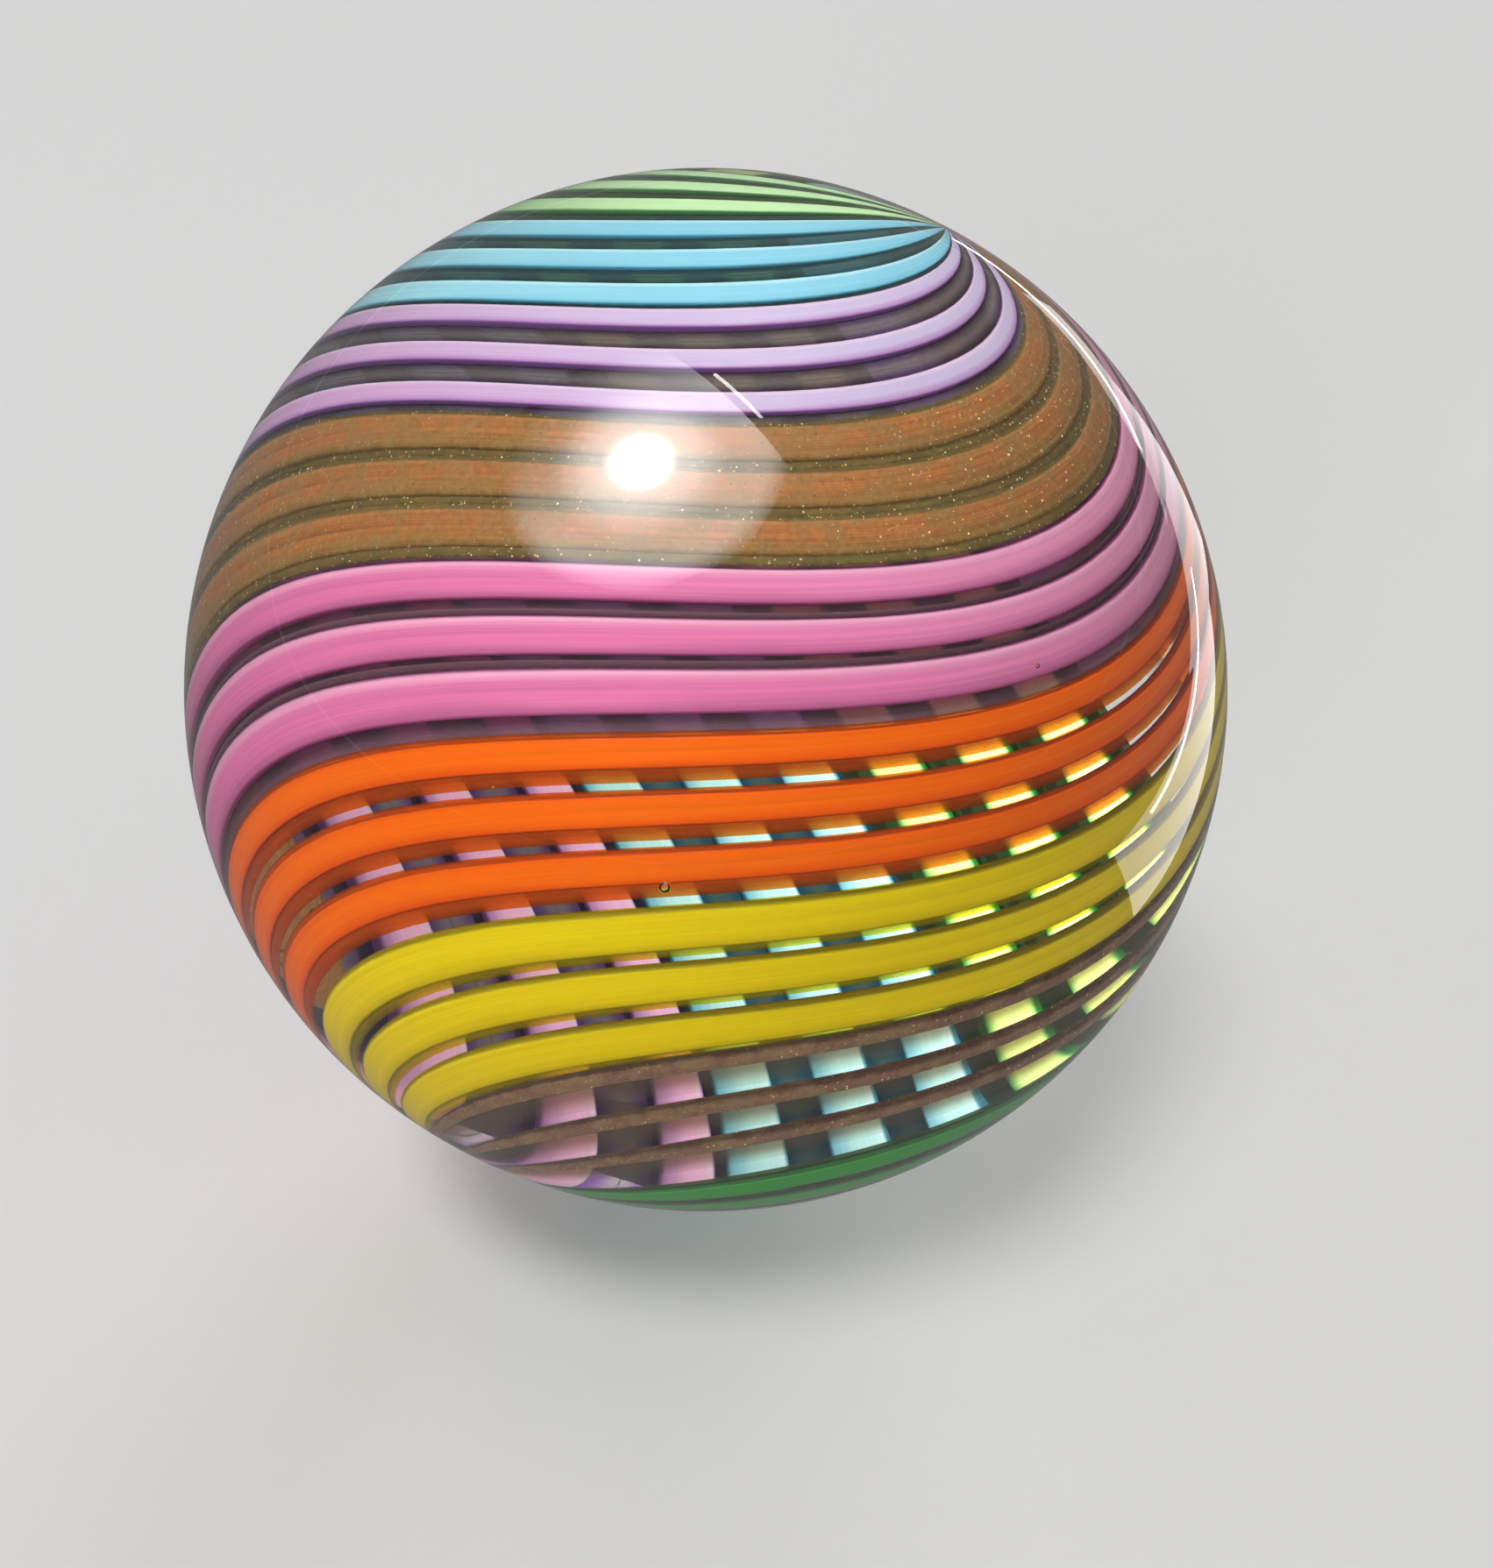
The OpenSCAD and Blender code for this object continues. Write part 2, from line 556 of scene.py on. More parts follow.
def drawn_glass_group():
    """Opaque glass drawn into a cane: a tone along each side and at its upper end, which in most
    colours are painted light and shade, and streaks.
    """
    tree, start, end = new_group(
        "drawn_glass",
        [
            ("Body", "NodeSocketColor", (0.8, 0.8, 0.8, 1)),
            ("Upper", "NodeSocketColor", (1, 1, 1, 1)),
            ("Lower", "NodeSocketColor", (0.6, 0.6, 0.6, 1)),
            ("Edge", "NodeSocketColor", (0.4, 0.4, 0.4, 1)),
            ("End", "NodeSocketColor", (1, 1, 1, 1)),
            ("Upper Reach", "NodeSocketFloat", 0.3),
            ("Lower Reach", "NodeSocketFloat", 0.4),
            ("Edge Width", "NodeSocketFloat", 0.08),
            ("Streaks", "NodeSocketFloat", 0.2),
        ],
        [("Color", "NodeSocketColor")],
    )
    place, across = texture_place(tree)
    across = maths(tree, "ADD", across, wandering(tree, place, *CORE_WANDER))
    below = maths(tree, "SUBTRACT", 1.0, across)
    # Painted light and shade across the cane: the upper tone is paler in most colours, for light on
    # its upper side, and the lower tone is darker, for shade along its lower side.
    upper = faded(tree, across, 0.0, start.outputs["Upper Reach"])
    spot = tree.nodes.new("ShaderNodeTexCoord")
    drift = noise(tree, spot.outputs["Object"], DRIFT, detail=1.0)
    drift = maths(tree, "MULTIPLY", drift, 2.0)
    reach = maths(tree, "MULTIPLY", start.outputs["Lower Reach"], drift)
    lower = faded(tree, below, 0.0, reach)
    # Painted light and shade along the cane: the tone of its upper end.
    end_light_and_shade = faded(tree, part_of(tree, place, "X"), *END_LIGHT_AND_SHADE)
    body = mix_colours(tree, end_light_and_shade, start.outputs["Body"], start.outputs["End"])
    tone = mix_colours(tree, upper, body, start.outputs["Upper"])
    tone = mix_colours(tree, lower, tone, start.outputs["Lower"])
    wide, fine = (noise(tree, place, stretch) for stretch in STREAKS)
    streaks = maths(tree, "SUBTRACT", maths(tree, "ADD", wide, fine), 1.0)
    level = maths(tree, "ADD", maths(tree, "MULTIPLY", streaks, start.outputs["Streaks"]), 1.0)
    shade = tree.nodes.new("ShaderNodeHueSaturation")
    tree.links.new(level, shade.inputs["Value"])
    tree.links.new(tone, shade.inputs["Color"])
    nearest = maths(tree, "MINIMUM", across, below)
    edge = faded(tree, nearest, 0.0, start.outputs["Edge Width"])
    shown = mix_colours(tree, edge, shade.outputs[0], start.outputs["Edge"])
    tree.links.new(shown, end.inputs["Color"])
    return tree


def beside_core_group():
    """Transparent glass beside a core, darkened with painted shade: deepest in a line along it, and
    paler at its own edge.
    """
    tree, start, end = new_group(
        "beside_core",
        [
            ("Deep", "NodeSocketColor", (0.1, 0.1, 0.1, 1)),
            ("Pale", "NodeSocketColor", (0.5, 0.5, 0.5, 1)),
            ("Core Start", "NodeSocketFloat", 0.25),
            ("Core End", "NodeSocketFloat", 0.75),
            ("Line", "NodeSocketFloat", 0.5),
        ],
        [("Color", "NodeSocketColor"), ("Away", "NodeSocketFloat")],
    )
    place, across = texture_place(tree)
    wander = wandering(tree, place, *FILM_WANDER)
    core_start, core_end = start.outputs["Core Start"], start.outputs["Core End"]
    above = maths(tree, "DIVIDE", maths(tree, "SUBTRACT", core_start, across), core_start)
    past = maths(tree, "SUBTRACT", across, core_end)
    below = maths(tree, "DIVIDE", past, maths(tree, "SUBTRACT", 1.0, core_end))
    away = maths(tree, "MAXIMUM", above, below, clamp=True)
    tree.links.new(away, end.inputs["Away"])
    line = faded(tree, maths(tree, "ADD", away, wander), start.outputs["Line"], 1.0)
    shown = mix_colours(tree, line, start.outputs["Pale"], start.outputs["Deep"])
    tree.links.new(shown, end.inputs["Color"])
    return tree


# Flecks, patches of them and sand grains, each by the number of cells in a metre
FLECKS_A_METRE = 9000
PATCHES = (900, 900, 900)
GRAIN = (4200, 4200, 4200)

# How far a fleck reaches in its cell: the smallest, and what the largest adds
FLECK_REACH = (0.15, 0.35)

# Where a sandy patch ends and where it is full, how much of the ground it covers, and how much the
# grains change the brightness
PATCH_EDGE = (0.62, 0.42)
PATCH_COVER = 0.6
GRAIN_CONTRAST = 0.8

# Tone of a metal fleck by the random number of its cell: most are dull, and a few are bright. In
# the cores this is the metal's own tone. In the films' haze the flecks are not metal, and the
# bright ones are painted sparkle.
GOLD_FLECKS = (
    (0, (0.40, 0.20, 0.06)),
    (0.6, (0.66, 0.40, 0.16)),
    (0.85, (0.90, 0.66, 0.36)),
    (1, (1, 0.95, 0.80)),
)


def glitter_group():
    """Fine tilted metal flecks in patches: their mask, tone and normal, and a sandy grain."""
    tree, start, end = new_group(
        "glitter",
        [("Share", "NodeSocketFloat", 0.2)],
        [
            ("Mask", "NodeSocketFloat"),
            ("Tone", "NodeSocketFloat"),
            ("Patches", "NodeSocketFloat"),
            ("Grain", "NodeSocketFloat"),
            ("Normal", "NodeSocketVector"),
        ],
    )
    links = tree.links
    place = tree.nodes.new("ShaderNodeTexCoord")
    cells = node(tree, "ShaderNodeTexVoronoi", Scale=FLECKS_A_METRE)
    links.new(place.outputs["Object"], cells.inputs["Vector"])
    split = tree.nodes.new("ShaderNodeSeparateXYZ")
    links.new(cells.outputs["Color"], split.inputs[0])
    patches = noise(tree, place.outputs["Object"], PATCHES, detail=2.0)
    share = maths(tree, "MULTIPLY", start.outputs["Share"], maths(tree, "MULTIPLY", patches, 2.0))
    picked = maths(tree, "LESS_THAN", split.outputs["X"], share)
    smallest, more = FLECK_REACH
    reach = maths(tree, "MULTIPLY_ADD", split.outputs["Z"], more, smallest)
    near = maths(tree, "LESS_THAN", cells.outputs["Distance"], reach)
    mask = maths(tree, "MULTIPLY", picked, near)
    links.new(mask, end.inputs["Mask"])
    tilt = vector_maths(tree, "SUBTRACT", cells.outputs["Color"], (0.5, 0.5, 0.5))
    tilt = vector_maths(tree, "SCALE", tilt, mask)
    surface = tree.nodes.new("ShaderNodeNewGeometry")
    tilted = vector_maths(tree, "ADD", surface.outputs["Normal"], tilt)
    links.new(vector_maths(tree, "NORMALIZE", tilted), end.inputs["Normal"])
    links.new(split.outputs["Y"], end.inputs["Tone"])
    links.new(patches, end.inputs["Patches"])
    links.new(noise(tree, place.outputs["Object"], GRAIN), end.inputs["Grain"])
    return tree


def placed_group(tree, name, **values):
    """A node group in a material."""
    made = tree.nodes.new("ShaderNodeGroup")
    made.node_tree = bpy.data.node_groups[name]
    return set_sockets(made, values)


def with_flecks(tree, colour, share, sandy):
    """A colour with a sandy tone in patches and metal flecks over it, and the flecks' node."""
    glitter = placed_group(tree, "glitter", Share=share)
    grain = glitter.outputs["Grain"]
    patches = faded(tree, glitter.outputs["Patches"], *PATCH_EDGE)
    patchy = maths(tree, "MULTIPLY", patches, PATCH_COVER)
    ground = mix_colours(tree, patchy, colour, sandy)
    grainy = tree.nodes.new("ShaderNodeHueSaturation")
    level = maths(tree, "MULTIPLY_ADD", maths(tree, "SUBTRACT", grain, 0.5), GRAIN_CONTRAST, 1.0)
    tree.links.new(level, grainy.inputs["Value"])
    tree.links.new(ground, grainy.inputs["Color"])
    tone = ramp(tree, glitter.outputs["Tone"], GOLD_FLECKS)
    return mix_colours(tree, glitter.outputs["Mask"], grainy.outputs[0], tone), glitter


def clear_in_shadow(tree, shader):
    """Ends a material with a shader that lets the light of the lamps through undimmed."""
    out = tree.nodes.new("ShaderNodeOutputMaterial")
    ray = tree.nodes.new("ShaderNodeLightPath")
    through = tree.nodes.new("ShaderNodeBsdfTransparent")
    either = mix_shaders(tree, ray.outputs["Is Shadow Ray"], shader, through)
    tree.links.new(either.outputs[0], out.inputs[0])


def core_material(name, body, look):
    """Opaque glass of a cane's core."""
    material, tree = empty_material(name)
    out = tree.nodes.new("ShaderNodeOutputMaterial")
    shader = node(tree, PRINCIPLED, Roughness=0.4, IOR=GLASS_IOR, Specular_IOR_Level=INSIDE_GLASS)
    drawn = placed_group(
        tree,
        "drawn_glass",
        Body=body,
        Upper=look["upper"],
        Lower=look["lower"],
        Edge=look["edge"],
        End=look.get("end", body),
        Upper_Reach=look.get("upper_reach", 0.3),
        Lower_Reach=look.get("lower_reach", 0.4),
        Streaks=look.get("streaks", 0.3),
    )
    shown = drawn.outputs["Color"]
    if "flecks" in look:
        shown, glitter = with_flecks(tree, shown, look["flecks"], look["sandy"])
        tree.links.new(glitter.outputs["Mask"], shader.inputs["Metallic"])
        tree.links.new(glitter.outputs["Normal"], shader.inputs["Normal"])
    tree.links.new(shown, shader.inputs["Base Color"])
    tree.links.new(shader.outputs[0], out.inputs[0])
    return material


def film_material(colour, look, core_start, core_end):
    """Transparent coloured glass beside a core, with a faint haze in it. Its tint is partly painted
    shade.

    Both faces of the film are crossed, so each has the root of the colour. Light reaches the canes
    through it undimmed, as through the clear glass.
    """
    material, tree = empty_material(f"{colour}_film")
    beside = placed_group(
        tree,
        "beside_core",
        Deep=tuple(channel ** 0.5 for channel in getattr(settings("marble_films"), colour)),
        Pale=tuple(channel ** 0.5 for channel in look["pale"]),
        Core_Start=core_start,
        Core_End=core_end,
        Line=look.get("line", 0.2),
    )
    clear = tree.nodes.new("ShaderNodeBsdfTransparent")
    tree.links.new(beside.outputs["Color"], clear.inputs["Color"])
    haze = node(
        tree, PRINCIPLED, Base_Color=look["haze"], Roughness=0.5, Specular_IOR_Level=INSIDE_GLASS
    )
    near, far = look["veil"]
    veil = maths(tree, "MULTIPLY_ADD", beside.outputs["Away"], far - near, near)
    if "flecks" in look:
        # In the haze the flecks are not metal, so their bright tones are painted sparkle.
        tone, glitter = with_flecks(tree, look["haze"], look["flecks"], look["sandy"])
        tree.links.new(tone, haze.inputs["Base Color"])
        veil = maths(tree, "MAXIMUM", veil, glitter.outputs["Mask"])
    clear_in_shadow(tree, mix_shaders(tree, veil, clear, haze))
    return material


def clear_material():
    """Polished clear glass that lets the light of the lamps through to the canes."""
    material, tree = empty_material("clear_glass_polished")
    glass = node(tree, PRINCIPLED, Base_Color=(0.96, 0.98, 0.98), IOR=GLASS_IOR, Roughness=0.0)
    glass.inputs["Transmission Weight"].default_value = 1.0
    clear_in_shadow(tree, glass)
    return material


def floor_material():
    """Plain pale floor that keeps the ball's shadow."""
    material, tree = empty_material("floor_pale")
    out = tree.nodes.new("ShaderNodeOutputMaterial")
    colour = tuple(settings("marble_stage").floor)
    shader = node(tree, PRINCIPLED, Base_Color=colour, Roughness=0.9, Specular_IOR_Level=0.1)
    tree.links.new(shader.outputs[0], out.inputs[0])
    return material


# Seed bubbles: the largest one's place and how far out the others lie, in ball radii, the sizes of
# the others as shares of the largest, and the number that their random places start from
LARGEST_SEED = Vector((-0.071, -0.868, 0.222))
SMALL_SEEDS = 6
SEED_DEPTHS = (0.8, 0.93)
SEED_SIZES = (0.25, 0.5)
SEED_DRAW = 7


class MARBLE_OT_clear_body(bpy.types.Operator):
    """The clear ball, with its seed bubbles as hollows"""

    bl_idname = "marble.clear_body"
    bl_label = "Clear body"

    def execute(self, context):
        shape = settings("marble_shape")
        deselect()
        bpy.ops.mesh.primitive_cube_add(size=BALL_R, location=CENTRE)
        ball = new_piece("clear_body")
        bpy.ops.object.mode_set(mode="EDIT")
        bpy.ops.mesh.select_all(action="SELECT")
        bpy.ops.mesh.subdivide(number_cuts=BALL_STEPS - 1)
        bpy.ops.object.mode_set(mode="OBJECT")
        cast = ball.modifiers.new("round", "CAST")
        cast.factor = 1
        cast.use_radius_as_size = False
        cast.size = BALL_R
        bpy.ops.object.modifier_apply(modifier=cast.name)
        for vertex in ball.data.vertices:
            vertex.co = vertex.co.normalized() * BALL_R
        bubbles = self.bubbles(shape)
        make_active(ball)
        for bubble in bubbles:
            bubble.select_set(True)
        bpy.ops.object.join()
        bpy.ops.object.shade_smooth()
        ball.data.materials.clear()
        ball.data.materials.append(clear_material())
        settle(ball, "clear_glass", "clear_glass")
        return {"FINISHED"}

    def bubbles(self, shape):
        """Hollow seeds, with their faces turned inwards."""
        spread = random.Random(SEED_DRAW)
        made = []
        places = [LARGEST_SEED * BALL_R]
        for _ in range(SMALL_SEEDS):
            away = Vector([spread.uniform(-1, 1) for _ in range(3)]).normalized()
            places.append(away * spread.uniform(*SEED_DEPTHS) * BALL_R)
        for i, place in enumerate(places):
            size = shape.bubble / 2 * (1 if i == 0 else spread.uniform(*SEED_SIZES))
            deselect()
            bpy.ops.mesh.primitive_ico_sphere_add(subdivisions=3, radius=size, location=place)
            bubble = new_piece(f"seed_{i + 1}")
            bpy.ops.object.mode_set(mode="EDIT")
            bpy.ops.mesh.select_all(action="SELECT")
            bpy.ops.mesh.flip_normals()
            bpy.ops.object.mode_set(mode="OBJECT")
            made.append(bubble)
        return made


# Look of each core. The tone along its upper side, its lower side and in the line at both edges, of
# its inner face, and where it is told, of its upper end. In most colours the side tones are painted
# light and shade: paler where light falls on the upper side, and darker in shade along the lower
# side. In copper and bronze they are mostly the glass's own bands. The inner face's tone is painted
# light, paler than the body for the light that the ball gathers onto it. The end tone is painted
# light and shade along the cane, and the green's pale end and dark body are its lit and shaded
# tones. How far the tones of the sides reach in, as shares of the width. How strong the streaks
# are, and in copper and bronze the share of cells that hold a fleck, and the tone of the sandy
# patches.
CORE_LOOKS = {
    "green": dict(
        upper=(0.12, 0.50, 0.10),
        lower=(0.02, 0.22, 0.03),
        edge=(0.02, 0.18, 0.03),
        inner=(0.72, 0.95, 0.30),
        end=(0.64, 0.94, 0.50),
        upper_reach=0.13,
        lower_reach=0.26,
    ),
    "blue": dict(
        upper=(0.62, 0.91, 0.94),
        lower=(0.20, 0.58, 0.74),
        edge=(0.04, 0.24, 0.32),
        inner=(0.52, 0.90, 0.90),
        end=(0.28, 0.66, 0.82),
    ),
    "violet": dict(
        upper=(0.82, 0.62, 0.77),
        lower=(0.50, 0.25, 0.56),
        edge=(0.20, 0.08, 0.28),
        inner=(0.90, 0.50, 0.78),
        end=(0.64, 0.54, 0.76),
    ),
    "copper": dict(
        upper=(0.42, 0.18, 0.06),
        lower=(0.27, 0.15, 0.045),
        edge=(0.22, 0.12, 0.035),
        inner=(0.45, 0.20, 0.08),
        lower_reach=0.6,
        streaks=1.2,
        flecks=0.17,
        sandy=(0.30, 0.18, 0.06),
    ),
    "pink": dict(
        upper=(0.90, 0.44, 0.60),
        lower=(0.50, 0.12, 0.27),
        edge=(0.30, 0.045, 0.16),
        inner=(0.94, 0.48, 0.70),
        end=(0.88, 0.36, 0.54),
        upper_reach=0.34,
        lower_reach=0.42,
        streaks=0.45,
    ),
    "orange": dict(
        upper=(0.92, 0.12, 0.0005),
        lower=(0.86, 0.09, 0.0005),
        edge=(0.36, 0.04, 0.001),
        inner=(1.00, 0.25, 0.02),
    ),
    "yellow": dict(
        upper=(0.80, 0.61, 0.003),
        lower=(0.70, 0.50, 0.002),
        edge=(0.30, 0.24, 0.002),
        inner=(0.92, 0.86, 0.10),
    ),
    "bronze": dict(
        upper=(0.20, 0.10, 0.06),
        lower=(0.26, 0.16, 0.10),
        edge=(0.14, 0.07, 0.04),
        inner=(0.34, 0.22, 0.15),
        streaks=0.7,
        flecks=0.15,
        sandy=(0.30, 0.20, 0.10),
    ),
}

# Look of each film. Its tints are partly the glass's own colour and partly painted shade in the
# gaps between the canes. How far it reaches above and below the core, as shares of the pitch. Its
# tone at its own edge, and how far its deepest colour lasts before it pales, from 0 at the core to
# 1 at that edge. The colour of the haze in it, and how thick that is beside the core and at the
# edge. The copper film holds flecks, as its core does.
FILM_LOOKS = {
    "green": dict(
        above=0.2,
        below=0.3,
        pale=(0.17, 0.24, 0.10),
        haze=(0.10, 0.15, 0.05),
        veil=(0.1, 0.5),
    ),
    "blue": dict(
        above=0.2,
        below=0.22,
        pale=(0.16, 0.26, 0.24),
        haze=(0.10, 0.22, 0.22),
        veil=(0.1, 0.3),
    ),
    "violet": dict(
        above=0.26,
        below=0.26,
        pale=(0.34, 0.28, 0.32),
        haze=(0.28, 0.23, 0.22),
        veil=(0.05, 0.4),
    ),
    "copper": dict(
        above=0.1,
        below=0.2,
        pale=(0.26, 0.22, 0.08),
        haze=(0.28, 0.18, 0.06),
        veil=(0.75, 0.4),
        flecks=0.16,
        sandy=(0.17, 0.16, 0.05),
    ),
    "pink": dict(
        above=0.14,
        below=0.3,
        pale=(0.28, 0.15, 0.20),
        haze=(0.27, 0.14, 0.18),
        veil=(0.15, 0.55),
    ),
    "orange": dict(
        above=0.08,
        below=0.24,
        pale=(0.85, 0.26, 0.03),
        line=0.0,
        haze=(0.75, 0.12, 0.005),
        veil=(0.55, 0.1),
    ),
    "yellow": dict(
        above=0.04,
        below=0.16,
        pale=(0.85, 0.70, 0.06),
        line=0.0,
        haze=(0.60, 0.45, 0.003),
        veil=(0.5, 0.1),
    ),
    "bronze": dict(
        above=0.1,
        below=0.5,
        pale=(0.88, 0.86, 0.80),
        haze=(0.36, 0.29, 0.24),
        veil=(0.24, 0.0),
    ),
}

# Height below which a face of the straight strip is its flat inner face, which lies at -1
INNER_FACE = -0.9


def choice_of_colour():
    """The colour whose canes an operator makes."""
    return bpy.props.EnumProperty(
        name="Colour", description="Which canes", items=[(c, c.title(), "") for c in COLOURS]
    )


class MARBLE_OT_cores(bpy.types.Operator):
    """The opaque cores of one colour's canes"""

    bl_idname = "marble.cores"
    bl_label = "Cane cores"
    colour: choice_of_colour()

    def execute(self, context):
        shape = settings("marble_shape")
        colour = self.colour
        strip = straight_strip("straight_core", rounding=0.3, segments=3)
        look = CORE_LOOKS[colour]
        body = tuple(getattr(settings("marble_cores"), colour))
        outer_side = core_material(f"{colour}_core", body, look)
        # The inner face's material is a paler copy of the core's. This is painted light, for the
        # light that the ball gathers onto its inner faces.
        lit_inner_side = core_material(f"{colour}_core_inner", look["inner"], look)
        for number in range(1, IN_EACH + 1):
            core = copy_of(strip, f"{colour}_core_{number}")
            core.data.materials.clear()
            core.data.materials.append(outer_side)
            core.data.materials.append(lit_inner_side)
            for face in core.data.polygons:
                face.material_index = int(face.center.z < INNER_FACE)
            lay(core, longitude_of(colour, number), half_core(colour, number), shape.thickness / 2)
            shade_smooth(core)
            settle(core, f"{colour}_cane", f"{colour}_cane_{number}")
        bpy.data.objects.remove(strip)
        return {"FINISHED"}


class MARBLE_OT_films(bpy.types.Operator):
    """The transparent coloured glass beside one colour's cores.

    Neighbouring films overlap at their edges, so they take turns on six levels, which lie half a
    film apart from 1.5 steps inside the middle of the cores to 3.5 steps outside it.
    """

    bl_idname = "marble.films"
    bl_label = "Cane films"
    colour: choice_of_colour()

    def execute(self, context):
        shape = settings("marble_shape")
        colour = self.colour
        strip = straight_strip("straight_film", rounding=0.1, segments=1)
        look = FILM_LOOKS[colour]
        above, below = look["above"], look["below"]
        width = above + CORE_SHARE[colour] + below
        material = film_material(colour, look, above / width, 1 - below / width)
        for number in range(1, IN_EACH + 1):
            film = copy_of(strip, f"{colour}_film_{number}")
            reach = half_core(colour, number) * width / CORE_SHARE[colour]
            middle = longitude_of(colour, number) + reach * (below - above) / width
            level = number + IN_EACH * (COLOURS.index(colour) % 2) - 2.5
            lay(film, middle, reach, shape.film / 2, level * shape.film / 2)
            film.data.materials.clear()
            film.data.materials.append(material)
            shade_smooth(film)
            settle(film, f"{colour}_cane")
        bpy.data.objects.remove(strip)
        return {"FINISHED"}


# Width of the square floor, in metres
FLOOR_WIDTH = 4

# Round lamps: the direction in which each hangs, its distance and its diameter in metres, and the
# setting that holds its power
OVERHEAD = Vector((-0.206, -0.099, 0.974)).normalized()
LAMPS = {
    "lamp_overhead": (OVERHEAD, 0.8, 0.24, "key"),
    "lamp_front": (Vector((-0.25, -0.85, 0.45)), 1.2, 0.6, "fill"),
    "lamp_behind": (Vector((0.3, 0.8, 0.5)), 1.2, 0.6, "fill"),
}

# The cloth round the lamp overhead: its distance and its radius in metres, and its turn
CLOTH_AWAY = 0.81
CLOTH_R = 0.445
CLOTH_TURN = 0.246

# Its glow, with the radius as 1: where each part is full, where it ends and how strong it is. The
# wide part also fades from one side to the other.
LAMP_SPOT = (0.05, 0.24, 7.0)
ROUND_GLOW = (0.16, 0.6, 1.7)
WIDE_RIM = (0.76, 1.0)
WIDE_SIDE = (0.1, -0.95)

# A bright line along one edge of the cloth: its distance, its place on the cloth and its size, all
# in metres, its turn, and its glow as a multiple of the cloth's
EDGE_AWAY = 0.8
EDGE_PLACE = Vector((-0.085, 0.333, 0))
EDGE_SIZE = (0.2, 0.012)
EDGE_TURN = 0.256
EDGE_GLOW = 2.5

# Cards that lie just over the floor, in ball radii: the middle of each, its size, its glow and its
# turn. The flag is grey and lies under the ball, and the bands and the edge are at its right.
FLOOR_CARDS = {
    "flag_floor": (Vector((0, 0, -0.995)), (104, 104), 0.2, 0),
    "band_near": (Vector((2.8, 1.0, -0.99)), (1.2, 3.0), 2.2, -0.33),
    "band_middle": (Vector((3.95, 4.2, -0.985)), (2.1, 4.8), 1.7, -0.43),
    "band_far": (Vector((6.6, 10.6, -0.98)), (4.0, 9.8), 1.4, -0.4),
    "edge_near": (Vector((3.35, 1.5, -0.97)), (0.1, 3.2), 7.0, -0.3),
}

# A low bright card between the bands that faces the ball, in ball radii: its middle, its size and
# its glow
EDGE_BEHIND = (Vector((4.7, 8.6, -0.8)), (4.5, 0.2), 5.0)

UPWARDS = Vector((0, 0, 1))


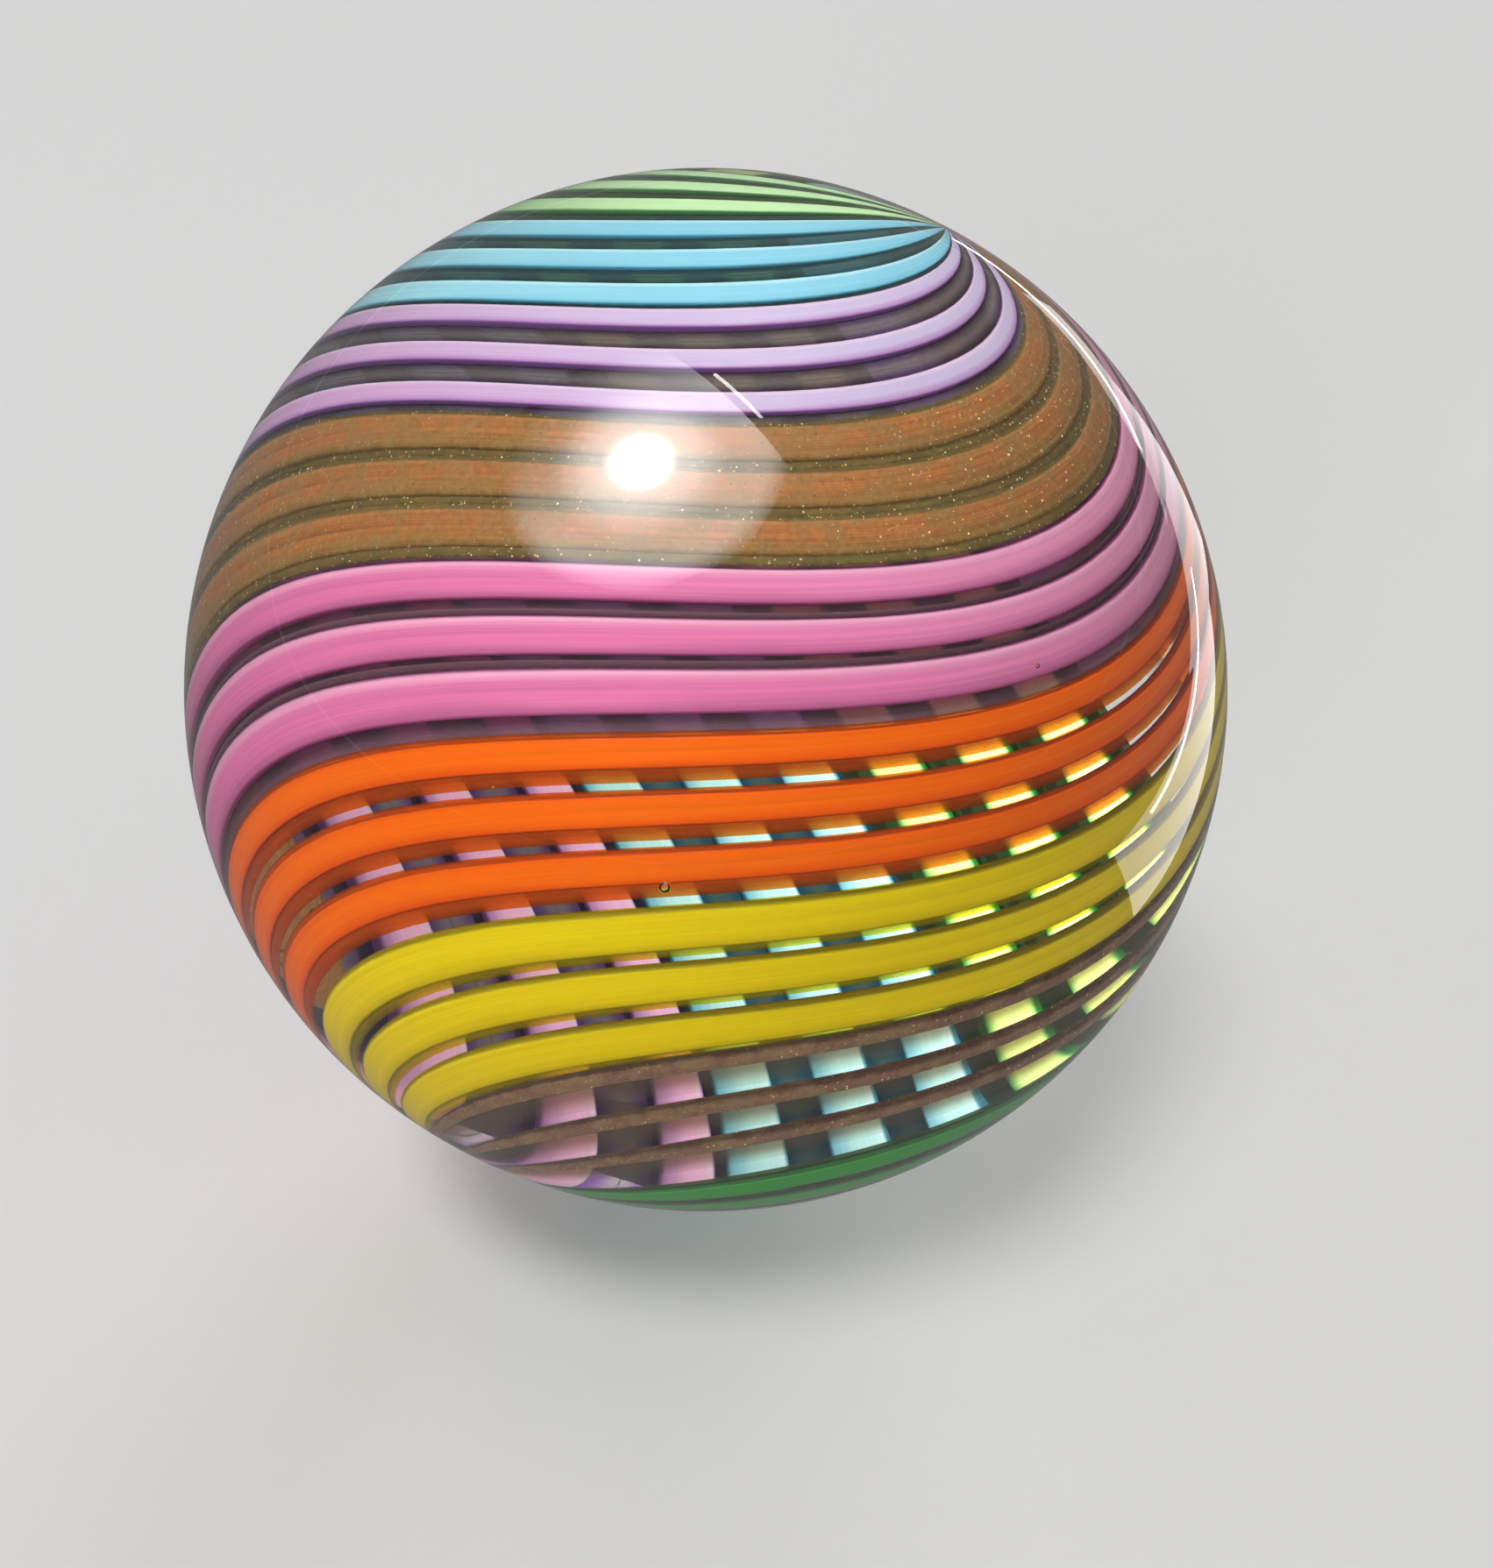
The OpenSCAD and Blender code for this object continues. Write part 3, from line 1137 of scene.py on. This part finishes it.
class MARBLE_OT_stage(bpy.types.Operator):
    """Floor, lamps, daylight and camera"""

    bl_idname = "marble.stage"
    bl_label = "Stage"

    def execute(self, context):
        self.floor()
        self.daylight()
        for name, place in LAMPS.items():
            self.lamp(name, *place)
        self.cards()
        self.camera()
        return {"FINISHED"}

    def floor(self):
        deselect()
        bpy.ops.mesh.primitive_plane_add(size=FLOOR_WIDTH, location=(0, 0, -BALL_R))
        floor = new_piece("floor")
        floor.data.materials.append(floor_material())

    def daylight(self):
        """Even light from all sides, half as bright in reflections, as under a darker ceiling."""
        full = settings("marble_stage").daylight
        world = bpy.data.worlds.new("daylight")
        bpy.context.scene.world = world
        world.use_nodes = True
        tree = world.node_tree
        tree.nodes.clear()
        out = tree.nodes.new("ShaderNodeOutputWorld")
        light = node(tree, "ShaderNodeBackground", Color=(1, 1, 1))
        ray = tree.nodes.new("ShaderNodeLightPath")
        level = maths(tree, "MULTIPLY_ADD", ray.outputs["Is Glossy Ray"], -0.5 * full, full)
        tree.links.new(level, light.inputs["Strength"])
        tree.links.new(light.outputs[0], out.inputs[0])

    def lamp(self, name, toward, away, size, power):
        """A round lamp that faces the ball and doesn't show in reflections."""
        toward = toward.normalized()
        light = bpy.data.lights.new(name, "AREA")
        light.shape = "DISK"
        light.size = size
        light.energy = getattr(settings("marble_stage"), power)
        lamp = bpy.data.objects.new(name, light)
        bpy.context.scene.collection.objects.link(lamp)
        lamp.location = toward * away
        lamp.rotation_euler = toward.to_track_quat("Z", "Y").to_euler()
        lamp.visible_glossy = False

    def cards(self):
        """Cards that only show as reflections, and add no light.

        They are the cloth overhead, pale bands at one side, and a grey flag over the floor, which
        keeps the rim of the glass from turning milky.
        """
        strength = settings("marble_stage").glow
        cloth = self.cloth("cloth_overhead")
        self.soften(self.hang(cloth, strength, OVERHEAD, CLOTH_TURN))
        across = OVERHEAD.to_track_quat("Z", "Y") @ EDGE_PLACE
        edge = self.plate("edge_overhead", OVERHEAD * EDGE_AWAY + across, EDGE_SIZE)
        self.hang(edge, EDGE_GLOW * strength, OVERHEAD, EDGE_TURN)
        for name, (middle, size, strength, turned) in FLOOR_CARDS.items():
            card = self.plate(name, middle * BALL_R, [side * BALL_R for side in size])
            self.hang(card, strength, UPWARDS, turned)
        middle, size, strength = EDGE_BEHIND
        behind = self.plate("edge_behind", middle * BALL_R, [side * BALL_R for side in size])
        self.hang(behind, strength, -middle, 0)

    def plate(self, name, middle, size):
        deselect()
        bpy.ops.mesh.primitive_plane_add(size=1, location=middle)
        card = new_piece(name)
        card.scale = (*size, 1)
        return card

    def cloth(self, name):
        """An octagon that lacks a corner."""
        deselect()
        bpy.ops.mesh.primitive_circle_add(
            vertices=8, radius=CLOTH_R, fill_type="NGON", location=OVERHEAD * CLOTH_AWAY
        )
        card = new_piece(name)
        bpy.ops.object.mode_set(mode="EDIT")
        bpy.ops.mesh.select_mode(type="VERT")
        bpy.ops.mesh.select_all(action="DESELECT")
        bpy.ops.object.mode_set(mode="OBJECT")
        for vertex in card.data.vertices:
            vertex.select = vertex.co.y > 0.98 * CLOTH_R
        bpy.ops.object.mode_set(mode="EDIT")
        bpy.ops.mesh.dissolve_verts()
        bpy.ops.object.mode_set(mode="OBJECT")
        return card

    def hang(self, card, strength, facing, turned):
        """Turns a card and gives it a plain glow, which shows in reflections only."""
        upright = facing.to_track_quat("Z", "Y")
        card.rotation_euler = (upright @ Quaternion((0, 0, 1), turned)).to_euler()
        material, tree = empty_material(card.name)
        out = tree.nodes.new("ShaderNodeOutputMaterial")
        glow = node(tree, "ShaderNodeEmission", Strength=strength)
        tree.links.new(glow.outputs[0], out.inputs[0])
        card.data.materials.append(material)
        for ray in ("camera", "diffuse", "transmission", "volume_scatter", "shadow"):
            setattr(card, f"visible_{ray}", False)
        return glow

    def soften(self, glow):
        """Gives the cloth a bright spot, a round glow and a wide one that fades to one side."""
        tree = glow.id_data
        place = tree.nodes.new("ShaderNodeTexCoord").outputs["Object"]
        away = maths(tree, "DIVIDE", vector_maths(tree, "LENGTH", place), CLOTH_R)
        aside = maths(tree, "DIVIDE", part_of(tree, place, "X"), CLOTH_R)
        side = faded(tree, aside, *WIDE_SIDE)
        level = maths(tree, "MULTIPLY", side, faded(tree, away, *WIDE_RIM))
        for full, end, share in (LAMP_SPOT, ROUND_GLOW):
            level = maths(tree, "MULTIPLY_ADD", faded(tree, away, full, end), share, level)
        level = maths(tree, "MULTIPLY", level, glow.inputs["Strength"].default_value)
        tree.links.new(level, glow.inputs["Strength"])

    def camera(self):
        """The photograph's view: the ball's centre and radius fall where they do in its frame."""
        stage = settings("marble_stage")
        back = Vector((0, -math.cos(stage.elevation), math.sin(stage.elevation)))
        focal_px = BALL_RADIUS_PX / math.tan(math.asin(BALL_R / stage.distance))
        right = Vector((1, 0, 0))
        up = back.cross(right)
        off_right = (BALL_PX[0] - PHOTO_SIZE[0] / 2) / focal_px
        off_up = -(BALL_PX[1] - PHOTO_SIZE[1] / 2) / focal_px
        data = bpy.data.cameras.new("camera")
        data.sensor_width = SENSOR_MM
        data.lens = focal_px * data.sensor_width / max(PHOTO_SIZE)
        data.clip_start = 5 * MM
        camera = bpy.data.objects.new("camera", data)
        bpy.context.scene.collection.objects.link(camera)
        camera.location = back * stage.distance
        looks = (-back - right * off_right - up * off_up).normalized()
        camera.rotation_euler = looks.to_track_quat("-Z", "Y").to_euler()
        bpy.context.scene.camera = camera


# The lamp inside the ball, in ball radii: its place and the radius of its glow
GATHERED_PLACE = Vector((0.28, 0.24, -0.3))
GATHERED_R = 0.1


class MARBLE_OT_gathered_light(bpy.types.Operator):
    """The light that the round glass gathers onto the inner faces of its canes.

    The shadow rays of the lamps pass the ball straight, so that light is a lamp of its own below
    the middle, which lights the cores and nothing else.
    """

    bl_idname = "marble.gathered_light"
    bl_label = "Gathered light"

    def execute(self, context):
        cores = bpy.data.collections.new("cores")
        for piece in bpy.data.objects:
            if "_core_" in piece.name:
                cores.objects.link(piece)
        light = bpy.data.lights.new("lamp_gathered", "POINT")
        light.shadow_soft_size = GATHERED_R * BALL_R
        light.energy = settings("marble_stage").gathered
        lamp = bpy.data.objects.new("lamp_gathered", light)
        bpy.context.scene.collection.objects.link(lamp)
        lamp.location = GATHERED_PLACE * BALL_R
        lamp.light_linking.receiver_collection = cores
        for ray in ("camera", "glossy", "transmission"):
            setattr(lamp, f"visible_{ray}", False)
        return {"FINISHED"}


class MARBLE_PT_panel(bpy.types.Panel):
    """Lists the pieces in the order in which they are made"""

    bl_label = "Marble"
    bl_idname = "MARBLE_PT_panel"
    bl_space_type = "VIEW_3D"
    bl_region_type = "UI"
    bl_category = "Marble"

    def draw(self, context):
        for name in SETTINGS:
            group = getattr(context.scene, name)
            for field in group.bl_rna.properties.keys():
                if field not in ("rna_type", "name"):
                    self.layout.prop(group, field)
        for kind in OPERATORS:
            self.layout.operator(kind.bl_idname)


SETTINGS = {
    "marble_shape": MarbleShape,
    "marble_cores": MarbleCores,
    "marble_films": MarbleFilms,
    "marble_stage": MarbleStage,
}
OPERATORS = (
    MARBLE_OT_clear_body,
    MARBLE_OT_cores,
    MARBLE_OT_films,
    MARBLE_OT_stage,
    MARBLE_OT_gathered_light,
)


def register():
    for kind in (*SETTINGS.values(), *OPERATORS, MARBLE_PT_panel):
        bpy.utils.register_class(kind)
    for name, kind in SETTINGS.items():
        setattr(bpy.types.Scene, name, bpy.props.PointerProperty(type=kind))


def unregister():
    for name in SETTINGS:
        delattr(bpy.types.Scene, name)
    for kind in (MARBLE_PT_panel, *OPERATORS, *SETTINGS.values()):
        bpy.utils.unregister_class(kind)


def main():
    register()
    bpy.context.scene.view_settings.view_transform = "Standard"
    drawn_glass_group()
    beside_core_group()
    glitter_group()
    bpy.ops.marble.stage()
    bpy.ops.marble.clear_body()
    for colour in COLOURS:
        bpy.ops.marble.cores(colour=colour)
        bpy.ops.marble.films(colour=colour)
    bpy.ops.marble.gathered_light()


if __name__ == "__main__":
    main()
